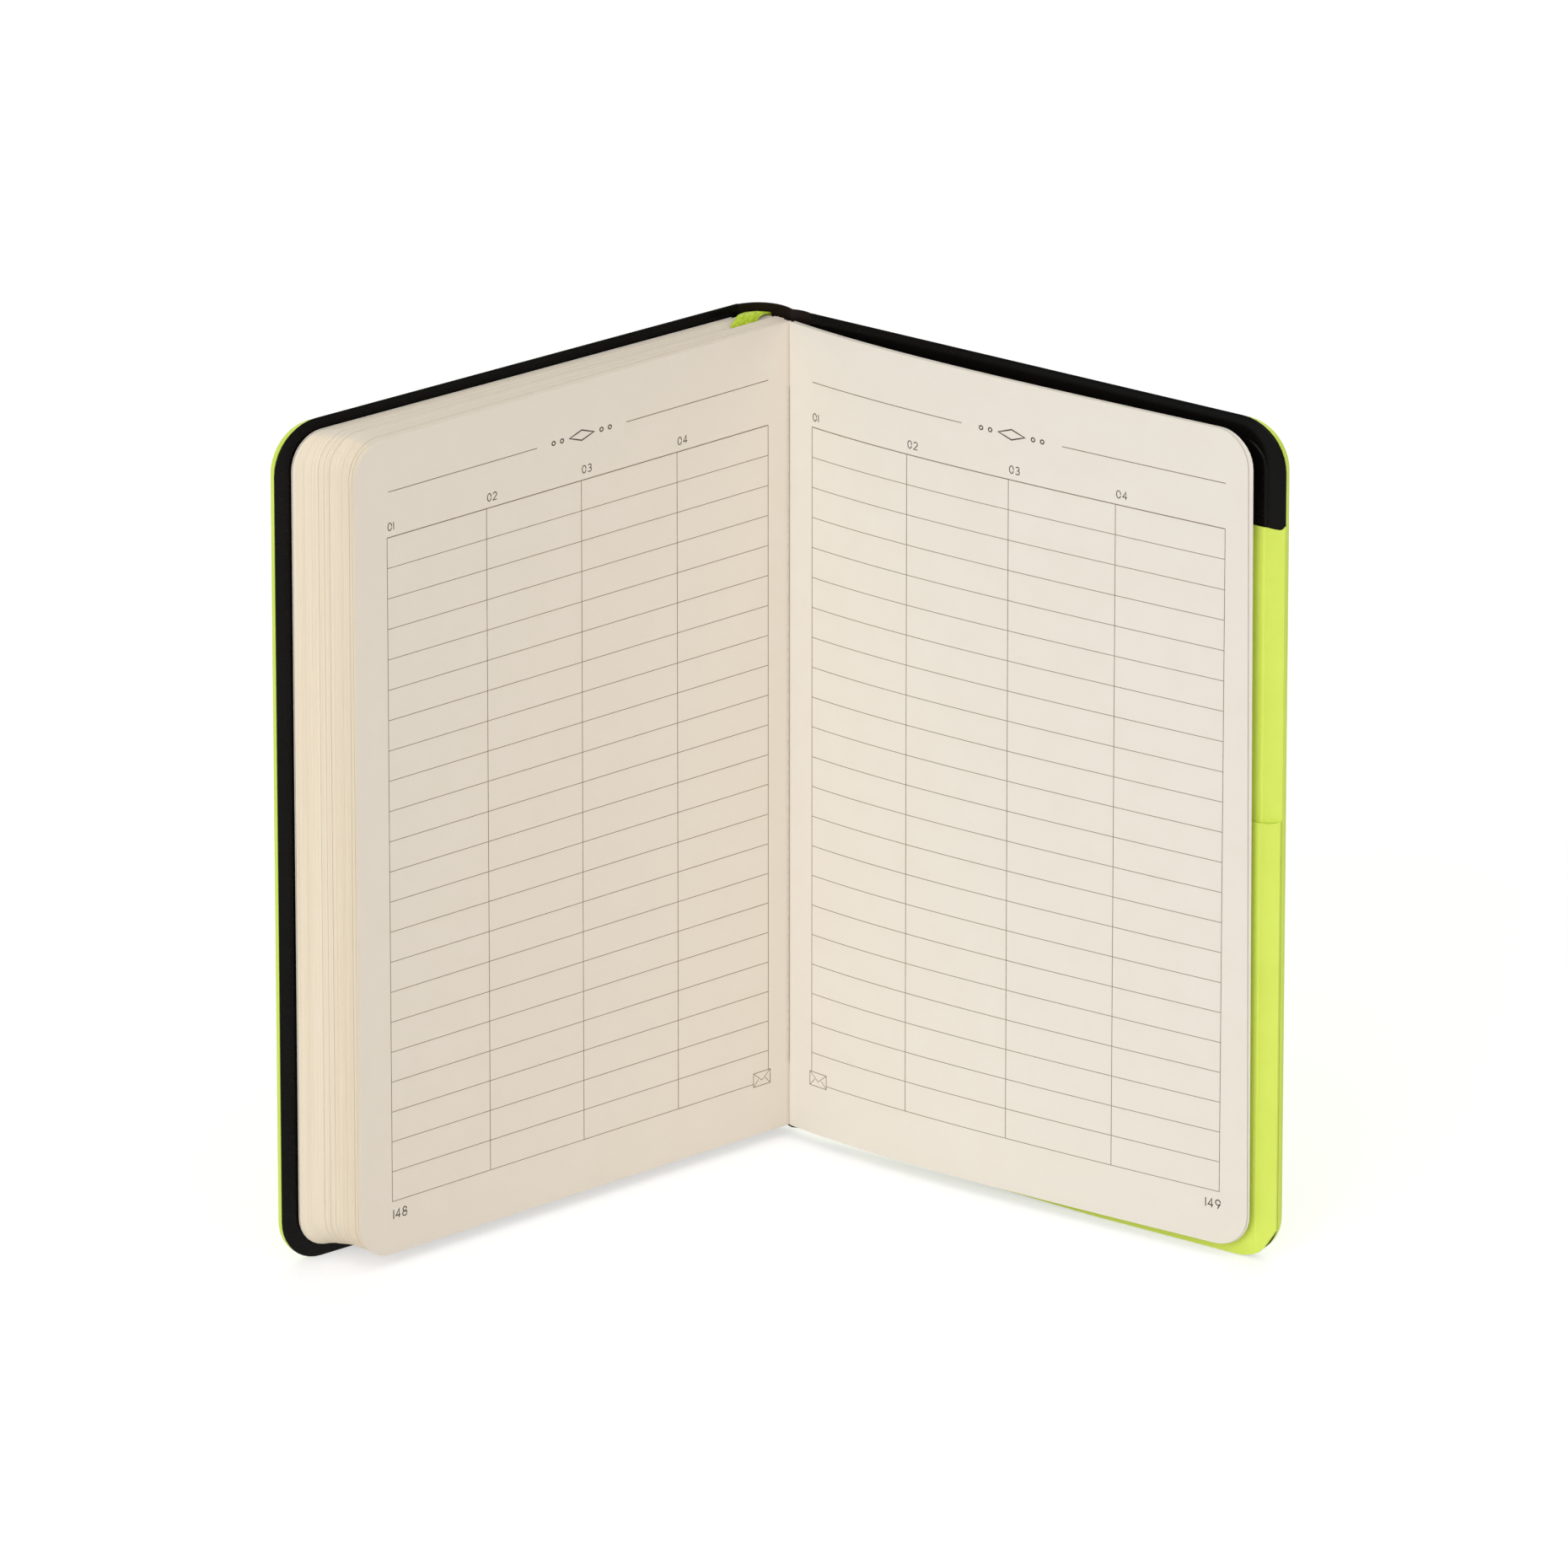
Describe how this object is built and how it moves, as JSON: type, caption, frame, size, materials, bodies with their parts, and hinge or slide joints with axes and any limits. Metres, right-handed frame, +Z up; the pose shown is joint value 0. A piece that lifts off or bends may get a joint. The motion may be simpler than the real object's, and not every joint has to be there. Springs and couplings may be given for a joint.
{
  "type": "lined notebook",
  "caption": "Case-bound notebook with round corners, hinged covers, sewn leaves, ribbon marker and inside pocket, standing open near its last pages.",
  "frame": {"origin": "middle of the footprint on the surface the open book stands on", "axes": "+Z up along the spine, +X to the right across the open pages, +Y away from the reader towards the spine"},
  "size_m": [0.2032, 0.0818, 0.1806],
  "materials": {
    "spine_skin": "satin",
    "spine_card": "matte",
    "spine_lining": "satin",
    "backing_cloth": "matte",
    "section_01": "matte",
    "section_02": "matte",
    "section_03": "matte",
    "section_04": "matte",
    "section_05": "matte",
    "section_06": "matte",
    "section_07": "matte",
    "section_08": "matte",
    "section_09": "matte",
    "section_10": "matte",
    "section_11": "matte",
    "section_12": "matte",
    "left_leaf": "matte",
    "sewing_thread": "matte",
    "ribbon_marker": "satin",
    "front_cover_skin": "satin",
    "front_cover_board": "matte",
    "front_cover_lining": "satin",
    "front_flyleaf": "matte",
    "back_cover_skin": "satin",
    "back_cover_board": "matte",
    "back_cover_lining": "satin",
    "pocket_back_sheet": "matte",
    "pocket_front_panel": "matte",
    "right_leaf_1": "matte",
    "right_leaf_2": "matte",
    "back_flyleaf": "matte"
  },
  "bodies": {
    "block": {"spine_skin": "spine_skin", "spine_card": "spine_card", "spine_lining": "spine_lining", "backing_cloth": "backing_cloth", "section_01": "section_01", "section_02": "section_02", "section_03": "section_03", "section_04": "section_04", "section_05": "section_05", "section_06": "section_06", "section_07": "section_07", "section_08": "section_08", "section_09": "section_09", "section_10": "section_10", "section_11": "section_11", "section_12": "section_12", "left_leaf": "left_leaf", "sewing_thread": "sewing_thread", "ribbon_marker": "ribbon_marker"},
    "front_cover": {"front_cover_skin": "front_cover_skin", "front_cover_board": "front_cover_board", "front_cover_lining": "front_cover_lining"},
    "front_flyleaf": {"front_flyleaf": "front_flyleaf"},
    "back_cover": {"back_cover_skin": "back_cover_skin", "back_cover_board": "back_cover_board", "back_cover_lining": "back_cover_lining", "pocket_back_sheet": "pocket_back_sheet", "pocket_front_panel": "pocket_front_panel"},
    "right_leaf_1": {"right_leaf_1": "right_leaf_1"},
    "right_leaf_2": {"right_leaf_2": "right_leaf_2"},
    "back_flyleaf": {"back_flyleaf": "back_flyleaf"}
  },
  "joints": [
    {"name": "front_cover_hinge", "type": "hinge", "parent": "block", "child": "front_cover", "pos_m": [-0.00957, 0.03969, 0], "axis": [0, 0, 1], "range_deg": [-160, 0]},
    {"name": "front_flyleaf_turn", "type": "hinge", "parent": "block", "child": "front_flyleaf", "pos_m": [-0.0099, 0.03606, 0], "axis": [0, 0, 1], "range_deg": [-80, 0]},
    {"name": "back_cover_hinge", "type": "hinge", "parent": "block", "child": "back_cover", "pos_m": [0.00316, 0.03333, 0], "axis": [0, 0, 1], "range_deg": [-94, 74]},
    {"name": "right_leaf_1_turn", "type": "hinge", "parent": "block", "child": "right_leaf_1", "pos_m": [0.00316, 0.03333, 0], "axis": [0, 0, 1], "range_deg": [-94, 74]},
    {"name": "right_leaf_2_turn", "type": "hinge", "parent": "block", "child": "right_leaf_2", "pos_m": [0.00316, 0.03333, 0], "axis": [0, 0, 1], "range_deg": [-94, 74]},
    {"name": "back_flyleaf_turn", "type": "hinge", "parent": "block", "child": "back_flyleaf", "pos_m": [0.00316, 0.03333, 0], "axis": [0, 0, 1], "range_deg": [-94, 74]}
  ],
  "couplings": [
    {"joint": "front_flyleaf_turn", "follows": "front_cover_hinge", "ratio": 0.5},
    {"joint": "right_leaf_1_turn", "follows": "back_cover_hinge", "ratio": 1},
    {"joint": "right_leaf_2_turn", "follows": "back_cover_hinge", "ratio": 1},
    {"joint": "back_flyleaf_turn", "follows": "back_cover_hinge", "ratio": 1}
  ]
}
